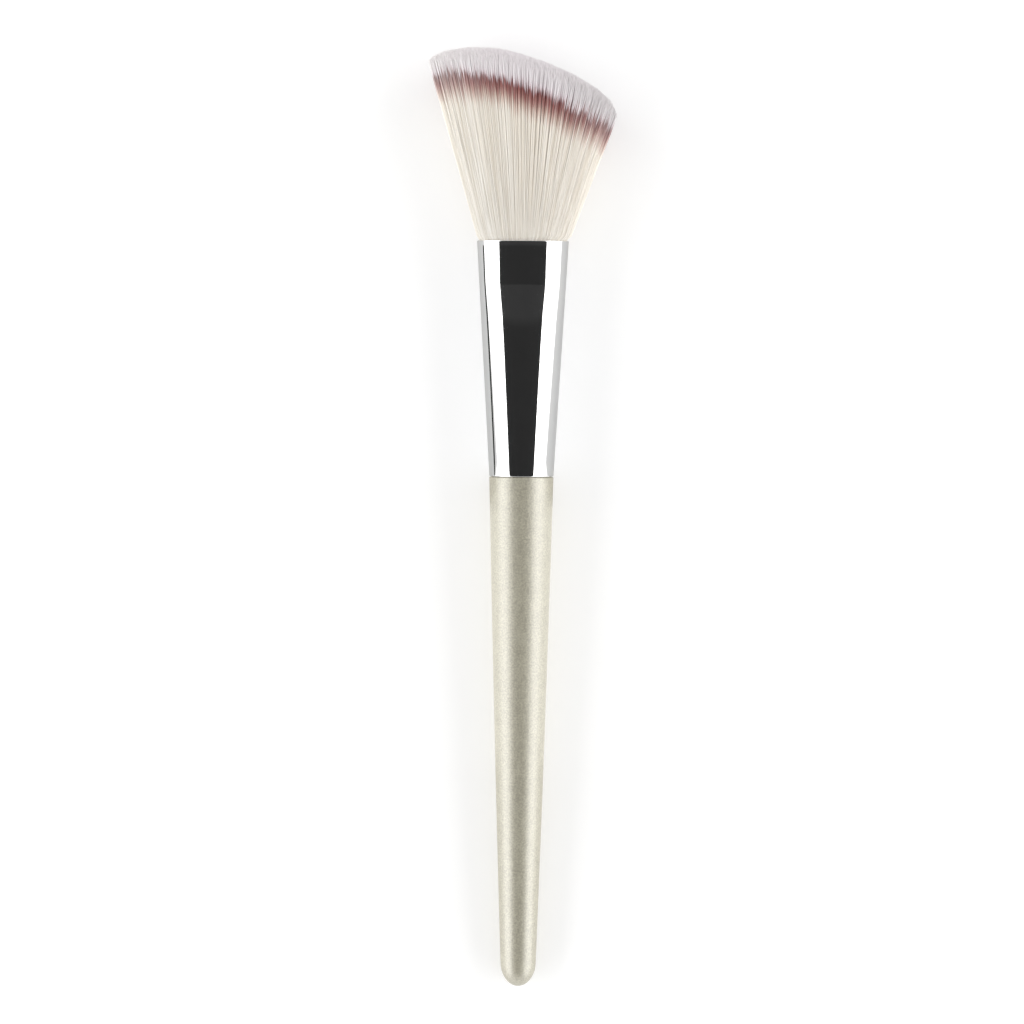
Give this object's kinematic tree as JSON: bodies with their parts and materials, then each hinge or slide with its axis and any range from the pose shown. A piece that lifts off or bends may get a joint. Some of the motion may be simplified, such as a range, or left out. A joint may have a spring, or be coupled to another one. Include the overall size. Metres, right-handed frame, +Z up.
{
  "type": "angled foundation brush",
  "caption": "Cosmetic brush with a slanted, domed fan of dense synthetic bristles in a bright oval ferrule on a slim tapered handle.",
  "frame": {"origin": "centre of the footprint, on the surface that the brush lies on", "axes": "+Y from the handle's tail to the bristle head, +Z up through the broad face, +X to the short corner of the slanted head"},
  "size_m": [0.0352, 0.18, 0.0175],
  "materials": {
    "handle_lacquer": "turned wood under a satin pearl-champagne lacquer",
    "ferrule_chrome": "polished plated aluminium tube",
    "bristles": "fine synthetic filaments, cream with a red-brown band under white tips",
    "resin": "cast amber resin"
  },
  "bodies": {
    "root": {"handle": "handle_lacquer", "ferrule": "ferrule_chrome", "bristle_tuft": "bristles", "root_resin": "resin"}
  },
  "joints": []
}
